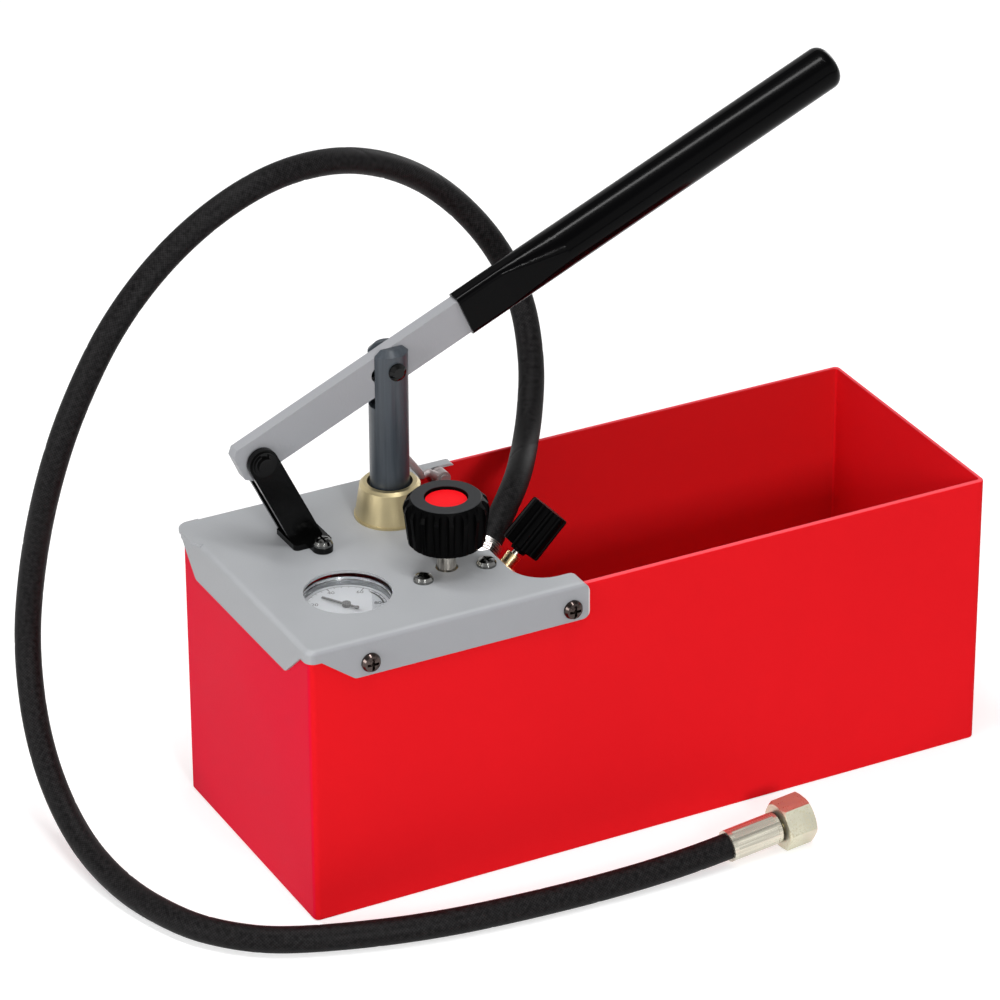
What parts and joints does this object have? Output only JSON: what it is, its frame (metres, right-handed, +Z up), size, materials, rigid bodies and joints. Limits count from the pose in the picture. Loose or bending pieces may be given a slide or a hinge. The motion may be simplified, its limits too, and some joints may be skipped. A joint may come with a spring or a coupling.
{
  "type": "hydrostatic test pump",
  "caption": "Hand pressure test pump: open steel tank, plated cover with gauge, valves, plunger and lever, and a hose with a swivel nut.",
  "frame": {"origin": "centre of the tank's underside, on the surface that the pump stands on", "axes": "+X along the tank from the pump end to the open end, +Y away from the operator's side, +Z up"},
  "size_m": [0.4685, 0.261, 0.3557],
  "materials": {
    "tank_paint": "semi-gloss red powder coat",
    "cover_paint": "satin grey powder coat",
    "lever_paint": "satin grey powder coat",
    "black_paint": "black powder coat",
    "dark_steel": "dull zinc plate",
    "zinc_steel": "zinc plate",
    "spring_steel": "drawn wire",
    "steel_bright": "turned, bright",
    "black_steel": "black oxide",
    "rod_steel": "slate grey hard coat",
    "champagne_metal": "champagne anodised",
    "gold_metal": "turned",
    "zinc_gold": "yellow zinc plate",
    "brass": "turned",
    "bush_bronze": "sintered bronze",
    "block_metal": "machined, grey",
    "chrome_ring": "bright",
    "clear_glass": "clear",
    "dial_white": "printed white",
    "needle_black": "matt black",
    "black_plastic": "moulded",
    "knob_plastic": "moulded, semi-gloss",
    "cap_red": "moulded",
    "grip_plastic": "dipped gloss black",
    "black_rubber": "moulded",
    "hose_rubber": "wrapped cloth finish",
    "seal_fabric": "woven, greased"
  },
  "bodies": {
    "root": {"tank": "tank_paint", "cover_plate": "cover_paint", "cover_screws": "dark_steel", "cover_inserts": "zinc_steel", "block_screws": "dark_steel", "gland_nut": "champagne_metal", "wiper_ring": "black_rubber", "gland_packing": "seal_fabric", "guide_bush": "bush_bronze", "valve_block": "block_metal", "pump_barrel": "block_metal", "foot_valve": "brass", "suction_strainer": "zinc_steel", "delivery_spring": "spring_steel", "delivery_plug": "brass", "gauge_case": "black_plastic", "gauge_bezel": "chrome_ring", "gauge_glass": "clear_glass", "gauge_dial": "dial_white", "gauge_elbow": "brass", "shutoff_packing_nut": "brass", "release_gland": "gold_metal", "fulcrum_bracket": "black_paint", "bracket_screws": "dark_steel", "bracket_nuts": "zinc_steel", "fulcrum_pin": "black_steel", "fulcrum_washers": "black_steel", "fulcrum_clips": "black_steel", "hose": "hose_rubber", "pump_ferrule": "zinc_gold", "hose_nipple": "zinc_gold", "end_ferrule": "zinc_gold", "hose_tail": "zinc_gold", "hose_washer": "black_rubber", "hook_tab": "zinc_steel", "hook_rivet": "zinc_steel"},
    "lever": {"lever_bar": "lever_paint", "lever_grip": "grip_plastic"},
    "plunger": {"plunger_rod": "rod_steel", "rod_pin": "black_steel", "rod_clip": "black_steel"},
    "shutoff": {"shutoff_spindle": "steel_bright", "shutoff_knob": "knob_plastic", "shutoff_cap": "cap_red"},
    "release": {"release_spindle": "steel_bright", "release_knob": "knob_plastic"},
    "needle": {"gauge_needle": "needle_black"},
    "hook": {"transport_hook": "zinc_steel"},
    "hose_nut": {"swivel_nut": "zinc_gold"},
    "suction_valve": {"suction_ball": "steel_bright"},
    "delivery_valve": {"delivery_ball": "steel_bright"}
  },
  "joints": [
    {"name": "lever_hinge", "type": "hinge", "parent": "root", "child": "lever", "pos_m": [-0.166, 0.033, 0.2022], "axis": [0, 1, 0], "range_deg": [-4, 27]},
    {"name": "plunger_slide", "type": "slide", "parent": "root", "child": "plunger", "axis": [0, 0, 1], "range_m": [-0.038, 0.0065]},
    {"name": "shutoff_turn", "type": "hinge", "parent": "root", "child": "shutoff", "pos_m": [-0.0938, -0.0291, 0.16], "axis": [0, 0, 1], "continuous": true},
    {"name": "release_turn", "type": "hinge", "parent": "root", "child": "release", "pos_m": [-0.0534, -0.0291, 0.1529], "axis": [0.7071, 0, 0.7071], "continuous": true},
    {"name": "needle_turn", "type": "hinge", "parent": "root", "child": "needle", "pos_m": [-0.1491, -0.0298, 0.14], "axis": [0, 0, 1], "range_deg": [-191, 79]},
    {"name": "hook_hinge", "type": "hinge", "parent": "root", "child": "hook", "pos_m": [-0.0515, 0.058, 0.1506], "axis": [0, 1, 0], "range_deg": [0, 35]},
    {"name": "hose_nut_turn", "type": "hinge", "parent": "root", "child": "hose_nut", "pos_m": [0.0152, -0.1201, 0.0098], "axis": [0.9962, 0.0453, 0.0741], "continuous": true},
    {"name": "suction_lift", "type": "slide", "parent": "root", "child": "suction_valve", "axis": [0, 0, 1], "range_m": [0, 0.002]},
    {"name": "delivery_lift", "type": "slide", "parent": "root", "child": "delivery_valve", "axis": [0, 0, 1], "range_m": [0, 0.001], "stiffness_N_per_m": 400, "deforming": ["delivery_spring"]}
  ],
  "couplings": [
    {"joint": "plunger_slide", "follows": "lever_hinge", "m_per_rad": -0.0785}
  ]
}
